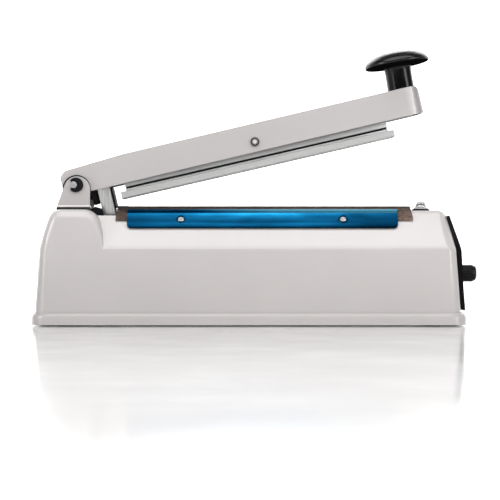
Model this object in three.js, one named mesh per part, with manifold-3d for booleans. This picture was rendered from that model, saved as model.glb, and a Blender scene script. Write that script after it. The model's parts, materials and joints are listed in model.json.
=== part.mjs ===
// Hand impulse heat sealer of the 200 mm class, with its arm raised.
// Millimetres, +Z up. The operator stands at -Y and the arm is hinged at the -X end.
import * as THREE from "three";
import { ConvexGeometry } from "three/addons/geometries/ConvexGeometry.js";
import { mergeVertices } from "three/addons/utils/BufferGeometryUtils.js";
import Module from "manifold-3d";

const wasm = await Module();
wasm.setup();

// ---- driving dimensions ----
const centreShift = -5.5; // puts the middle of the whole object, knob included, over the origin

const rimHalfLength = 160;
const rimHalfDepth = 40;
const rimTop = 9.9;
const footGap = 1; // the casing's lower edge stands this far above the table
const wall = 2.2;
const shoulderZ = 57.5;
const shoulderY = 35;
const deckZ = 85.3;
const deckY = 13;
const towerTop = 85.7;
const bracketFoot = 86.6; // a thin gasket lies between it and the tower

const pinX = -130.5;
const pinZ = 104.2;
const pinRadius = 2.5;
const armRest = 13.3; // degrees above level with the arm raised
const armHalfWidth = 12;
const armWall = 1.5;
const frontCorner = 11.4;
const armEnd = 268;
const armTop = 14.2;
const armBottom = -7;

const pivotU = 138.7;
const pivotV = 0.6;
const barRest = 12.9; // degrees above level of the press bar with the arm raised
const barHalfLength = 100.7;
const barCentre = -1.5; // from the pivot screw, along the bar
const siliconeHalfLength = 105;
const siliconeBottom = -19.2;

const sealCentre = 9.9;
const stripHalfLength = 100.4;
const clothLeft = -98;
const clothRight = 120.4;
const clothTop = 88.7;
const stripScrewX = [-50.5, 69.8];
const stripScrewDown = 10.1; // from the deck's edge, down the slope
const terminalX = 129.7;

const slotLeft = -118;
const slotRight = -96.9;
const slotHalfWidth = 15.8;

const timerZ = 38.3;
const timerRadius = 6.45;
const footX = 135;
const footY = 25;
const glandX = -105;
const glandZ = 22;

// ---- the slope of the two long faces, from the deck down to the shoulder ----
const slopeLength = Math.hypot(shoulderY - deckY, deckZ - shoulderZ);
const slopeDown = [(shoulderY - deckY) / slopeLength, (shoulderZ - deckZ) / slopeLength];
const slopeOut = [-slopeDown[1], slopeDown[0]];
const slopeAngle = Math.asin(slopeOut[0]);

// A point [y, z] that is s down the slope and t out from it, on the rear side.
function onSlope(s, t) {
  const y = deckY + s * slopeDown[0] + t * slopeOut[0];
  const z = deckZ + s * slopeDown[1] + t * slopeOut[1];
  return [y, z];
}

// ---- shape helpers ----
function solid(geometry) {
  geometry.deleteAttribute("normal");
  geometry.deleteAttribute("uv");
  const merged = mergeVertices(geometry, 1e-4);
  const triVerts = new Uint32Array(merged.index.array);
  const vertProperties = merged.attributes.position.array;
  return new wasm.Manifold(new wasm.Mesh({ numProp: 3, vertProperties, triVerts }));
}

// The polygon through the corners [x, y, r], each rounded with radius r where one is given.
function outline(corners, steps = 4) {
  const points = [];
  corners.forEach(([x, y, r = 0], i) => {
    const here = new THREE.Vector2(x, y);
    if (r === 0) {
      points.push(here);
      return;
    }
    const last = corners.at(i - 1);
    const next = corners[(i + 1) % corners.length];
    const back = new THREE.Vector2(last[0], last[1]).sub(here).normalize();
    const ahead = new THREE.Vector2(next[0], next[1]).sub(here).normalize();
    const half = Math.acos(back.dot(ahead)) / 2;
    const middle = back.clone().add(ahead).normalize();
    const centre = here.clone().addScaledVector(middle, r / Math.sin(half));
    const start = here.clone().addScaledVector(back, r / Math.tan(half)).sub(centre);
    const end = here.clone().addScaledVector(ahead, r / Math.tan(half)).sub(centre);
    const sweep = Math.atan2(start.cross(end), start.dot(end));
    for (let k = 0; k <= steps; k++) {
      const turned = start.clone().rotateAround(new THREE.Vector2(), (sweep * k) / steps);
      points.push(turned.add(centre));
    }
  });
  return new THREE.Shape(points);
}

const flat = (depth) => ({ depth, bevelEnabled: false });

// Prisms: a profile in XZ swept along Y, one in YZ swept along X, and one in XY swept along Z.
function alongY(shape, y0, y1) {
  const g = new THREE.ExtrudeGeometry(shape, flat(y1 - y0));
  return solid(g.rotateX(Math.PI / 2).translate(0, y1, 0));
}

function alongX(shape, x0, x1) {
  const g = new THREE.ExtrudeGeometry(shape, flat(x1 - x0));
  const basis = new THREE.Matrix4().makeBasis(
    new THREE.Vector3(0, 1, 0),
    new THREE.Vector3(0, 0, 1),
    new THREE.Vector3(1, 0, 0),
  );
  return solid(g.applyMatrix4(basis).translate(x0, 0, 0));
}

function alongZ(shape, z0, z1) {
  return solid(new THREE.ExtrudeGeometry(shape, flat(z1 - z0)).translate(0, 0, z0));
}

function block(x0, x1, y0, y1, z0, z1) {
  const g = new THREE.BoxGeometry(x1 - x0, y1 - y0, z1 - z0);
  return solid(g.translate((x0 + x1) / 2, (y0 + y1) / 2, (z0 + z1) / 2));
}

function rodX(radius, x0, x1, y, z, sides = 20) {
  const g = new THREE.CylinderGeometry(radius, radius, x1 - x0, sides).rotateZ(Math.PI / 2);
  return solid(g.translate((x0 + x1) / 2, y, z));
}

function rodY(radius, y0, y1, x, z, sides = 20) {
  const g = new THREE.CylinderGeometry(radius, radius, y1 - y0, sides);
  return solid(g.translate(x, (y0 + y1) / 2, z));
}

function rodZ(radius, z0, z1, x, y, sides = 20) {
  const g = new THREE.CylinderGeometry(radius, radius, z1 - z0, sides).rotateX(Math.PI / 2);
  return solid(g.translate(x, y, (z0 + z1) / 2));
}

// A solid of revolution about Z from a profile of [radius, z].
function turned(profile, sides = 32) {
  const points = profile.map(([r, z]) => new THREE.Vector2(r, z));
  return solid(new THREE.LatheGeometry(points, sides).rotateX(Math.PI / 2));
}

// The plan of a box with rounded corners, which can be tighter at its right end.
function plan(x0, x1, halfDepth, r, steps = 4, rightR = r) {
  return outline(
    [
      [x0, -halfDepth, r],
      [x1, -halfDepth, rightR],
      [x1, halfDepth, rightR],
      [x0, halfDepth, r],
    ],
    steps,
  );
}

// The convex body whose level sections are rounded rectangles: each is
// { z, left, right, half, r, steps, rightR } with half the depth along Y.
function levels(sections) {
  const points = [];
  for (const { z, left, right, half, r, steps = 5, rightR = r } of sections) {
    for (const p of plan(left, right, half, r, steps, rightR).getPoints()) {
      points.push(new THREE.Vector3(p.x, p.y, z));
    }
  }
  return solid(new ConvexGeometry(points));
}

const mirrored = (side) => [...side, ...side.map(([y, z, r]) => [-y, z, r]).reverse()];

// A pan-head screw about Z with a cross recess: the head's top is at z = 0.
function screw(headRadius, headHeight, shankRadius, length) {
  const profile = [
    [0, -headHeight - length],
    [shankRadius, -headHeight - length],
    [shankRadius, -headHeight],
    [headRadius, -headHeight],
    [headRadius, -0.35 * headHeight],
    [0.8 * headRadius, 0],
    [0, 0],
  ];
  const arm = 0.55 * headRadius;
  const half = 0.14 * headRadius;
  const deep = -0.5 * headHeight;
  return turned(profile, 16)
    .subtract(block(-arm, arm, -half, half, deep, 1))
    .subtract(block(-half, half, -arm, arm, deep, 1));
}

// ---- materials ----
const paint = { color: 0xc6c2c0, roughness: 0.45, metalness: 0 };
const steel = { color: 0xb4b4b6, roughness: 0.3, metalness: 1 };
const aluminium = { color: 0xb8b6b2, roughness: 0.4, metalness: 1 };
const anodised = { color: 0x0e6fae, roughness: 0.35, metalness: 0.9 };
const blackPlastic = { color: 0x151515, roughness: 0.35, metalness: 0 };
const rubber = { color: 0x1c1c1c, roughness: 0.85, metalness: 0 };
const silicone = { color: 0xbdbab6, roughness: 0.75, metalness: 0 };
const ptfe = { color: 0x6f6258, roughness: 0.6, metalness: 0 };

// ---- bodies ----
const root = new THREE.Group();
const body = new THREE.Group();
body.position.x = centreShift;
root.add(body);

const arm = new THREE.Group();
arm.position.set(pinX, 0, pinZ);
arm.rotation.y = THREE.MathUtils.degToRad(-armRest);
body.add(arm);

const bar = new THREE.Group();
bar.position.set(pivotU, 0, pivotV);
bar.rotation.y = THREE.MathUtils.degToRad(armRest - barRest);
arm.add(bar);

function add(parent, name, made, finish) {
  const mesh = made.getMesh();
  const g = new THREE.BufferGeometry();
  g.setAttribute("position", new THREE.BufferAttribute(new Float32Array(mesh.vertProperties), 3));
  g.setIndex(new THREE.BufferAttribute(new Uint32Array(mesh.triVerts), 1));
  const facets = g.toNonIndexed();
  facets.computeVertexNormals();
  const node = new THREE.Mesh(facets, new THREE.MeshStandardMaterial(finish));
  node.name = name;
  parent.add(node);
  return node;
}

// ---- upper casing ----
// Where a body's wall is at each height: the ends along X, half the depth, the corner radius,
// and then the steps in a corner or, on the tower, the radius of its right-hand corners.
// Above the shoulder the corners are flat hips, so a single step is enough for them.
const longWall = [
  [8, 156, 37.2, 9, 5],
  [12, 155.8, 37, 9, 5],
  [26, 154.6, 36.4, 9, 5],
  [54.6, 152.9, 35.15, 9, 5],
  [56.6, 152.7, 34.9, 8.8, 5],
  [58.2, 152.3, 34.1, 8.6, 1],
  [59.4, 152.1, 33.3, 8.6, 1],
  [80.7, 147.6, 16.4, 5.4, 1],
  [83, 146.2, 14.6, 4.6, 1],
  [84.7, 144.2, 13.1, 3.5, 2],
  [deckZ, 142, 12, 3, 2],
];
const longLeft = -125; // inside the tower
const towerWall = [
  [8, -157.6, -106.5, 37.2, 9, 1],
  [12, -157.3, -106.5, 37, 9, 1],
  [34, -155.6, -106.5, 36, 9, 1],
  [57, -154.4, -106.5, 35.1, 9, 1.2],
  [67.6, -151.7, -107.8, 34.5, 9, 4],
  [76.6, -148.7, -110, 33.8, 8, 6.5],
  [79.4, -147.7, -111.3, 33.4, 8, 7],
  [81.8, -146.6, -113, 32.6, 7.5, 7],
  [84.3, -144.8, -116, 30.8, 7, 6.5],
  [85.3, -143.2, -118.2, 29.2, 6.5, 6],
  [towerTop, -141.4, -120, 27.6, 6, 5.5],
];

// The casing's outside with every wall moved in by t.
function casingBody(t) {
  const inset = ([z, left, right, half, r, steps, rightR = r]) => ({
    z: z < 10 ? (t > 0 ? -1 : z) : z - t * Math.min(1, (z - 10) / 70),
    left: left + t,
    right: right - t,
    half: half - t,
    r: r - 0.7 * t,
    rightR: Math.max(0.3, rightR - 0.7 * t),
    steps,
  });
  const long = longWall.map(([z, ...rest]) => inset([z, longLeft, ...rest]));
  const tower = towerWall.map(([z, left, right, half, r, rightR]) =>
    inset([z, left, right, half, r, 5, rightR]),
  );
  return levels(long).add(levels(tower));
}

// The foot rim that the walls stand on.
function rim() {
  const edge = (z, back) => ({
    z,
    left: -rimHalfLength + back,
    right: rimHalfLength - back,
    half: rimHalfDepth - back,
    r: 13 - back,
  });
  return levels([
    edge(footGap, 0),
    edge(5.9, 0),
    edge(7.7, 0.4),
    edge(9, 1.3),
    edge(9.6, 2.4),
    edge(rimTop, 3.6),
  ]);
}

// Puts a solid made about Z onto a slope: side is 1 for the rear slope and -1 for the front one.
function toSlope(made, side, x, s) {
  const [y, z] = onSlope(s, 0);
  const turn = new THREE.Matrix4().makeRotationX(-side * slopeAngle);
  turn.setPosition(x, side * y, z);
  return made.transform(turn.elements);
}

const underside = plan(-156, 156, 36, 8);
let casing = rim()
  .add(casingBody(0))
  .subtract(casingBody(wall))
  .subtract(alongZ(underside, 0, 5.3));
for (const x of [-footX, footX]) {
  for (const y of [-footY, footY]) {
    const post = rodZ(4.5, 5.3, 90, x, y, 16).intersect(casingBody(1));
    casing = casing.add(post).subtract(rodZ(1.6, 4, 18, x, y, 12));
  }
}
casing = casing
  .subtract(block(slotLeft, slotRight, -slotHalfWidth, slotHalfWidth, 70, 100))
  .subtract(rodX(4, 145, 170, 0, timerZ))
  .subtract(rodX(3.6, 145, 170, 0, 51))
  .subtract(rodX(1.7, 145, 170, -19, 18, 12))
  .subtract(rodX(1.7, 145, 170, 19, 18, 12))
  .subtract(rodY(5.3, 30, 40, glandX, glandZ))
  .subtract(rodZ(1.7, 78, 90, -138.5, 0, 12))
  .subtract(rodZ(1.7, 78, 90, -127, 0, 12))
  .subtract(rodZ(2.2, 78, 90, terminalX, 0, 12));
for (const x of stripScrewX) {
  for (const side of [-1, 1]) {
    casing = casing.subtract(toSlope(rodZ(1.7, -8, 4, 0, 0, 12), side, x, stripScrewDown));
  }
}
add(body, "upper_casing", casing, paint);

// ---- underside ----
let base = alongZ(plan(-155.7, 155.7, 35.7, 8), 3.5, 5.1);
for (const x of [-footX, footX]) {
  for (const y of [-footY, footY]) base = base.subtract(rodZ(1.7, 0, 10, x, y, 12));
}
add(body, "base_plate", base, steel);

const footProfile = [
  [1.7, 3.4],
  [1.7, 1.8],
  [4, 1.8],
  [4, 0],
  [6.4, 0],
  [7, 0.6],
  [7.2, 3.4],
  [1.7, 3.4],
];
let count = 0;
for (const x of [-footX, footX]) {
  for (const y of [-footY, footY]) {
    count += 1;
    const foot = add(body, `rubber_foot_${count}`, turned(footProfile, 28), rubber);
    foot.position.set(x, y, 0);
    const fixing = add(body, `base_screw_${count}`, screw(3.3, 1.3, 1.4, 12), steel);
    fixing.rotation.x = Math.PI;
    fixing.position.set(x, y, 0.3);
  }
}

// ---- seal bar on the deck ----
const bedLeft = sealCentre - stripHalfLength;
const bedRight = sealCentre + stripHalfLength;
add(body, "heater_bed", block(bedLeft, bedRight, -9, 9, deckZ + 0.2, 87.4), aluminium);
add(body, "insulation_strip", block(bedLeft, bedRight, -4.5, 4.5, 87.45, 87.8), silicone);

const bandRun = outline([
  [-97.5, 87.9],
  [121.9, 87.9],
  [124.6, 90],
  [terminalX, 90],
  [terminalX, 90.25],
  [124.5, 90.25],
  [121.8, 88.15],
  [-97.5, 88.15],
]);
const band = alongY(bandRun, -1.6, 1.6)
  .add(rodZ(4, 90, 90.25, terminalX, 0))
  .add(block(-97.5, -97.2, -1.6, 1.6, 76, 88.15))
  .subtract(rodZ(2.2, 80, 92, terminalX, 0, 12))
  .subtract(rodX(1.1, -99, -96, 0, 80.5, 10));
add(body, "heating_band", band, { color: 0xa8a49c, roughness: 0.35, metalness: 1 });

const clothEdge = stripScrewDown;
const clothSection = mirrored([
  onSlope(clothEdge, 0.25),
  onSlope(clothEdge, 0.6),
  [13.6, 85.72, 1.5],
  [9.8, clothTop, 1.2],
]);
const clothInside = mirrored([onSlope(clothEdge + 5, 0.25), [13.2, 85.47], [9.6, clothTop - 0.4]]);
let cloth = alongX(outline(clothSection), clothLeft, clothRight).subtract(
  alongX(outline(clothInside), clothLeft - 1, clothRight + 1),
);
for (const x of stripScrewX) {
  for (const side of [-1, 1]) {
    cloth = cloth.subtract(toSlope(rodZ(1.9, -4, 4, 0, 0, 12), side, x, stripScrewDown));
  }
}
add(body, "ptfe_cloth", cloth, ptfe);

// Clamp strip: a flat strip down the slope with a rolled upper edge.
const stripSection = [
  [0.4, 0.8],
  [0.5, 1.7],
  [1.2, 2.5],
  [2.2, 2.75],
  [3.4, 2.4],
  [17.9, 2.4],
  [17.9, 0.8],
];
for (const [side, word] of [[-1, "front"], [1, "rear"]]) {
  const section = stripSection.map(([s, t]) => {
    const [y, z] = onSlope(s, t);
    return [side * y, z];
  });
  let strip = alongX(outline(section), bedLeft, bedRight);
  for (const x of stripScrewX) {
    strip = strip
      .subtract(toSlope(rodZ(3, 1.4, 4, 0, 0), side, x, stripScrewDown))
      .subtract(toSlope(rodZ(1.7, -4, 4, 0, 0, 12), side, x, stripScrewDown));
  }
  add(body, `${word}_clamp_strip`, strip, anodised);
  stripScrewX.forEach((x, i) => {
    const made = screw(2.4, 0.9, 1.4, 6);
    const fixing = add(body, `${word}_strip_screw_${i + 1}`, made, steel);
    const [y, z] = onSlope(stripScrewDown, 2.4);
    fixing.rotation.x = -side * slopeAngle;
    fixing.position.set(x, side * y, z);
  });
}

// ---- terminals of the heating band ----
const bushProfile = [
  [2.1, 85.5],
  [6.6, 85.5],
  [6.6, 86.5],
  [2.1, 86.5],
  [2.1, 85.5],
];
const bush = turned(bushProfile, 24);
const insulator = add(body, "terminal_insulator", bush, blackPlastic);
insulator.position.x = terminalX;
const nut = add(
  body,
  "terminal_nut",
  turned([
    [2.2, 86.7],
    [5.6, 86.7],
    [5.6, 87.5],
    [4.3, 87.7],
    [4.3, 88.4],
    [3.6, 89.8],
    [2.2, 89.8],
    [2.2, 86.7],
  ], 24),
  steel,
);
nut.position.x = terminalX;
const terminal = add(body, "terminal_screw_right", screw(3.25, 1.8, 1.9, 14), steel);
terminal.position.set(terminalX, 0, 92.2);
const anchor = add(body, "terminal_screw_left", screw(2.2, 1.4, 0.9, 5), steel);
anchor.rotation.y = -Math.PI / 2;
anchor.position.set(-99.05, 0, 80.5);
add(
  body,
  "terminal_anchor",
  block(-97.05, -94.9, -3, 3, 74, 82.9).subtract(rodX(1.1, -99, -90, 0, 80.5, 10)),
  blackPlastic,
);

// ---- slot liner: two curved cheeks and the wall that joins them ----
const cheek = outline([
  [-117.6, 84.6],
  [-117.2, 86.4, 1],
  [-114.6, 88.1, 1.2],
  [-111.4, 87.3, 2],
  [-109.1, 85.2, 2],
  [-107.6, 79],
  [-112.5, 76],
  [-117.6, 76],
]);
const liner = alongY(cheek, -slotHalfWidth + 0.2, -slotHalfWidth + 2.2)
  .add(alongY(cheek, slotHalfWidth - 2.2, slotHalfWidth - 0.2))
  .add(block(-117.6, -116.4, -slotHalfWidth + 0.2, slotHalfWidth - 0.2, 76, 86.2));
add(body, "slot_liner", liner, blackPlastic);

// ---- hinge bracket, pin and clips ----
const earSide = outline([
  [-143.1, bracketFoot],
  [-118.5, bracketFoot],
  [-118.5, 101],
  [-137.3, 104.3],
  [-143.1, 88.5, 2],
]);
const ears = alongY(earSide, -16, -14)
  .add(alongY(earSide, 14, 16))
  .add(rodY(9.7, -16, -14, -128.2, 101, 40))
  .add(rodY(9.7, 14, 16, -128.2, 101, 40));
const bracket = ears
  .add(block(-143.1, -118.5, -16, 16, bracketFoot, bracketFoot + 2))
  .subtract(block(-122.6, -110, -8, 8, 80, 90))
  .subtract(rodY(2.7, -20, 20, pinX, pinZ))
  .subtract(rodZ(1.8, 80, 90, -138.5, 0, 12))
  .subtract(rodZ(1.8, 80, 90, -127, 0, 12));
add(body, "hinge_bracket", bracket, { color: 0xc9c7c4, roughness: 0.4, metalness: 0.2 });
[-138.5, -127].forEach((x, i) => {
  const fixing = add(body, `bracket_screw_${i + 1}`, screw(2.9, 1.8, 1.4, 9), steel);
  fixing.position.set(x, 0, bracketFoot + 3.9);
});
add(body, "hinge_pin", rodY(pinRadius, -19, 19, pinX, pinZ), steel);

const clipShape = rodY(5.5, 0, 1, 1.6, 0, 28)
  .subtract(rodY(2.75, -1, 2, 0, 0))
  .subtract(block(-10, -2, -1, 2, -3.3, 3.1));
for (const [word, y] of [["front", -17.4], ["rear", 16.4]]) {
  const clip = add(body, `e_clip_${word}`, clipShape, blackPlastic);
  clip.position.set(pinX, y, pinZ);
}

// Torsion spring: the upper leg lies under the arm, the coil is round the pin and the lower
// leg stands on the bracket.
const coilRadius = 5.2;
const wirePoints = [];
const restTurn = THREE.MathUtils.degToRad(armRest);
const turnedPoint = (u, v, y) =>
  new THREE.Vector3(
    u * Math.cos(restTurn) - v * Math.sin(restTurn),
    y,
    u * Math.sin(restTurn) + v * Math.cos(restTurn),
  );
wirePoints.push(turnedPoint(30, 11.7, -5.2), turnedPoint(24, 10.4, -5.2));
wirePoints.push(turnedPoint(14, 7.6, -5.2), turnedPoint(6, 5.6, -5.1));
const coilSteps = 56;
const coilStart = Math.PI / 2 + restTurn;
const coilEnd = Math.PI + 2 * Math.PI * 4;
for (let i = 0; i <= coilSteps; i++) {
  const a = coilStart + ((coilEnd - coilStart) * i) / coilSteps;
  const y = -5 + (10 * i) / coilSteps;
  wirePoints.push(new THREE.Vector3(coilRadius * Math.cos(a), y, coilRadius * Math.sin(a)));
}
for (const z of [-4, -8, -12, -15.4]) wirePoints.push(new THREE.Vector3(-coilRadius, 5, z));
const wire = new THREE.ExtrudeGeometry(
  new THREE.Shape(new THREE.Path().absarc(0, 0, 0.55, 0, 2 * Math.PI).getPoints(3).slice(0, -1)),
  { steps: 90, bevelEnabled: false, extrudePath: new THREE.CatmullRomCurve3(wirePoints) },
);
const spring = add(body, "return_spring", solid(wire), steel);
spring.position.set(pinX, 0, pinZ);

// ---- right-hand end: side panel, lamp and timer ----
const panelSection = outline([
  [156.1, 12.4],
  [159.8, 10.5, 0.8],
  [158.6, 26],
  [157.1, 55.3, 8],
  [149.6, 81.7, 0.8],
  [147.5, 81.2],
  [153.2, 55.3, 4],
  [154.9, 26],
]);
const panelFace = outline(
  mirrored([
    [25, 10, 1.5],
    [25, 60, 4],
    [13.2, 82, 2],
  ]),
);
const panel = alongY(panelSection, -25, 25)
  .intersect(alongX(panelFace, 140, 165))
  .subtract(rodX(4, 145, 170, 0, timerZ))
  .subtract(rodX(3.6, 145, 170, 0, 51))
  .subtract(rodX(3.1, 157.7, 170, -19, 18))
  .subtract(rodX(3.1, 157.7, 170, 19, 18))
  .subtract(rodX(1.7, 145, 170, -19, 18, 12))
  .subtract(rodX(1.7, 145, 170, 19, 18, 12));
add(body, "side_panel", panel, blackPlastic);
[-19, 19].forEach((y, i) => {
  const fixing = add(body, `panel_screw_${i + 1}`, screw(2.7, 1.1, 1.4, 8), steel);
  fixing.rotation.y = Math.PI / 2;
  fixing.position.set(158.9, y, 18);
});
add(
  body,
  "indicator_lens",
  rodX(3.3, 150, 157.3, 0, 51).add(rodX(2.6, 157, 157.8, 0, 51)),
  { color: 0xb01510, roughness: 0.2, metalness: 0 },
);

const knobProfile = [
  [0, 0],
  [6.1, 0],
  [timerRadius, 0.6],
  [timerRadius, 8.9],
  [5.3, 11.6],
  [4.4, 12.1],
  [0, 12.1],
];
let timerKnob = turned(knobProfile, 36).subtract(rodZ(3.2, -1, 7, 0, 0));
for (let i = 0; i < 18; i++) {
  const a = (2 * Math.PI * i) / 18;
  const x = (timerRadius + 0.25) * Math.cos(a);
  const y = (timerRadius + 0.25) * Math.sin(a);
  timerKnob = timerKnob.subtract(rodZ(0.6, 1.4, 14, x, y, 6));
}
timerKnob = timerKnob.subtract(block(-0.5, 0.5, 1, 7, 11.5, 13).rotate([0, 0, 45]));
const knobNode = add(body, "timer_knob", timerKnob, blackPlastic);
knobNode.rotation.y = Math.PI / 2;
knobNode.position.set(159, 0, timerZ);
add(body, "timer_shaft", rodX(3, 145, 165.5, 0, timerZ), steel);
const pot = rodX(8.5, 141.4, 150.6, 0, timerZ, 24)
  .add(rodX(3.8, 150, 155.4, 0, timerZ))
  .add(block(142.4, 145.4, -4, 4, timerZ - 14, timerZ))
  .subtract(rodX(3.2, 144, 160, 0, timerZ));
add(body, "potentiometer", pot, { color: 0x7b7f84, roughness: 0.4, metalness: 0.8 });

// ---- parts inside the casing ----
let board = block(70, 130, -20, 20, 18, 19.6);
for (const x of [74, 126]) {
  for (const y of [-16, 16]) board = board.add(rodZ(2.5, 5.3, 18.2, x, y, 12));
}
board = board
  .add(rodZ(6, 19.4, 34, 84, -8, 16))
  .add(block(100, 116, 2, 16, 19.4, 32))
  .add(block(96, 122, -14, -4, 19.4, 25));
add(body, "timer_board", board, { color: 0x1f5a35, roughness: 0.5, metalness: 0 });

const core = block(-62, -6, -17, 17, 5.3, 52)
  .subtract(block(-53, -43, -20, 20, 14.5, 42.8))
  .subtract(block(-25, -15, -20, 20, 14.5, 42.8));
add(body, "transformer_core", core, { color: 0x3b3c40, roughness: 0.5, metalness: 0.7 });
const coil = block(-52.5, -15.5, -25, 25, 15, 42.3).subtract(
  block(-43.5 + 0.2, -24.5 - 0.2, -17.4, 17.4, 10, 50),
);
const throughCore = core.add(block(-43.4, -24.6, -17.4, 17.4, 10, 50));
add(body, "transformer_coil", coil.subtract(throughCore), {
  color: 0xa8622c,
  roughness: 0.4,
  metalness: 0.6,
});

const switchBody = block(-112, -92, -3.2, 3.2, 57.5, 67.4).subtract(
  rodY(1.2, -5, 5, -108, 60.5, 12),
);
add(body, "microswitch", switchBody, blackPlastic);
const switchPost = block(-114, -90, 3.5, 5, 5.3, 66)
  .add(block(-114, -90, 3.5, 14, 5.3, 6.8))
  .subtract(rodY(1.2, 0, 8, -108, 60.5, 12));
add(body, "switch_bracket", switchPost, steel);
const switchScrew = rodY(1, -4, 6.4, -108, 60.5, 12).add(rodY(2, -4.8, -3.4, -108, 60.5, 12));
add(body, "switch_screw", switchScrew, steel);

let connector = block(20, 50, 10, 24, 5.3, 17);
for (let i = 0; i < 3; i++) {
  connector = connector.subtract(rodZ(2.6, 11, 20, 26 + 9 * i, 17, 12));
}
add(body, "terminal_block", connector, { color: 0xd8d4c8, roughness: 0.5, metalness: 0 });

// ---- cord inlet in the rear wall, without its cord ----
const gland = rodY(7.4, 36.95, 39.8, glandX, glandZ, 28)
  .add(rodY(5, 30.6, 37.2, glandX, glandZ, 24))
  .subtract(rodY(3.4, 20, 50, glandX, glandZ, 20));
add(body, "cord_gland", gland, blackPlastic);
const glandNut = rodY(8.2, 31.4, 33.9, glandX, glandZ, 6).subtract(
  rodY(5.3, 20, 50, glandX, glandZ, 24),
);
add(body, "gland_nut", glandNut, blackPlastic);

// ---- arm: a channel open below, closed and rounded at its front end ----
const armSide = outline([
  [-9.5, -5, 2],
  [5, armBottom],
  [armEnd, armBottom + 0.4, 1],
  [armEnd - 0.2, armTop, 4.5],
  [41, armTop + 0.2, 30],
  [-5, 12, 6],
  [-9.5, 8, 4],
]);
const armInside = outline([
  [-8, -20],
  [armEnd - armWall, -20],
  [armEnd - armWall - 0.2, armTop - armWall, 3],
  [41, armTop + 0.2 - armWall, 30],
  [-4.5, 10.4, 5],
  [-8, 7.4, 3],
]);
const armPlan = outline(
  [
    [-9.5, -armHalfWidth, 3.5],
    [armEnd, -armHalfWidth, frontCorner],
    [armEnd, armHalfWidth, frontCorner],
    [-9.5, armHalfWidth, 3.5],
  ],
  7,
);
const armHollow = outline(
  [
    [-8, -armHalfWidth + armWall, 2],
    [armEnd - armWall, -armHalfWidth + armWall, frontCorner - armWall],
    [armEnd - armWall, armHalfWidth - armWall, frontCorner - armWall],
    [-8, armHalfWidth - armWall, 2],
  ],
  7,
);
const knobTilt = THREE.MathUtils.degToRad(4);
const knobU = 255.4;

// Turns a solid made about Z so that it stands along the handle's axis on the arm.
function alongHandle(made) {
  const turn = new THREE.Matrix4().makeRotationY(knobTilt);
  turn.setPosition(knobU, 0, armTop - 0.6);
  return made.transform(turn.elements);
}

const channel = alongY(armSide, -armHalfWidth, armHalfWidth)
  .intersect(alongZ(armPlan, -30, 40))
  .subtract(alongY(armInside, -20, 20).intersect(alongZ(armHollow, -30, 40)))
  .subtract(rodY(2.7, -20, 20, 0, 0))
  .subtract(rodY(2.3, -20, 20, pivotU, pivotV, 16))
  .subtract(alongHandle(rodZ(2.8, -8, 8, 0, 0, 16)));
add(arm, "arm_channel", channel, paint);

// ---- lever that reaches through the slot to the switch ----
const side = outline([
  [15.8, 8, 2],
  [15.8, -34],
  [24.9, -34],
  [24.9, 8, 2],
]);
const lever = alongY(side, -10.2, -8.6)
  .add(alongY(side, 8.6, 10.2))
  .add(block(15.8, 24.9, -9, 9, -34, -32.4))
  .add(block(8.3, 24.9, -9, 9, -6.9, -5.3))
  .subtract(rodZ(1.3, -10, 0, 12.3, 0, 12));
add(arm, "switch_lever", lever, steel);
add(arm, "lever_guard", block(25.15, 26.6, -10.2, 10.2, -23, -7.6), blackPlastic);
const bumper = turned([
  [0, -17.4],
  [1.9, -17.4],
  [2.8, -16.5],
  [2.9, -14.6],
  [2.5, -14.3],
  [2.5, -13.8],
  [2.9, -13.5],
  [2.9, -7.1],
  [1.1, -7.1],
  [1.1, -4.9],
  [2.0, -4.9],
  [1.4, -3.4],
  [0, -3.2],
], 24);
add(arm, "rubber_bumper", bumper, rubber).position.x = 12.3;

// ---- handle ----
const handleProfile = [
  [0, -1],
  [10.1, -1],
  [9.9, 10],
  [10.1, 16.2],
  [11.6, 18.4],
  [22.6, 19.1],
  [24.1, 19.8],
  [24.2, 21],
  [23, 23.3],
  [19, 26.5],
  [13, 28.7],
  [6.5, 29.7],
  [0, 30],
];
const handle = alongHandle(turned(handleProfile, 40).subtract(rodZ(2.2, -5, 15, 0, 0, 16)))
  .subtract(block(230, 290, -20, 20, 0, armTop + 0.25));
add(arm, "handle_knob", handle, { color: 0x101010, roughness: 0.25, metalness: 0 });
const handleScrew = screw(4.2, 2.2, 1.95, 14.5);
const handleFixing = add(arm, "handle_screw", handleScrew, steel);
handleFixing.rotation.y = knobTilt + Math.PI;
handleFixing.position.set(knobU - 0.45, 0, armTop - armWall - 3.2);

// ---- pivot of the press bar ----
const pivot = add(arm, "pivot_screw", screw(3.4, 1.9, 1.9, 28), steel);
pivot.rotation.x = Math.PI / 2;
pivot.position.set(pivotU, -armHalfWidth - 2.15, pivotV);
add(
  arm,
  "pivot_nut",
  rodY(4.1, armHalfWidth + 0.2, armHalfWidth + 3.2, pivotU, pivotV, 6).subtract(
    rodY(2.1, 0, 30, pivotU, pivotV, 12),
  ),
  steel,
);

// ---- press bar: an extrusion with a neck, and the silicone strip bonded beneath it ----
const barSection = outline(
  mirrored([
    [8.6, -14],
    [8.6, -12.6, 0.5],
    [4, -12.6],
    [4, -11.2],
    [8, -11.2, 0.5],
    [8, 5, 1],
  ]),
);
const extrusion = alongX(barSection, barCentre - barHalfLength, barCentre + barHalfLength)
  .subtract(rodY(2.4, -20, 20, 0, 0, 16));
add(bar, "press_bar", extrusion, aluminium);
const stripEnd = outline(
  mirrored([
    [9, siliconeBottom, 1],
    [9, -14.1, 0.4],
  ]),
);
const siliconeLeft = barCentre - siliconeHalfLength;
const siliconeRight = barCentre + siliconeHalfLength;
add(bar, "silicone_strip", alongX(stripEnd, siliconeLeft, siliconeRight), silicone);

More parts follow.
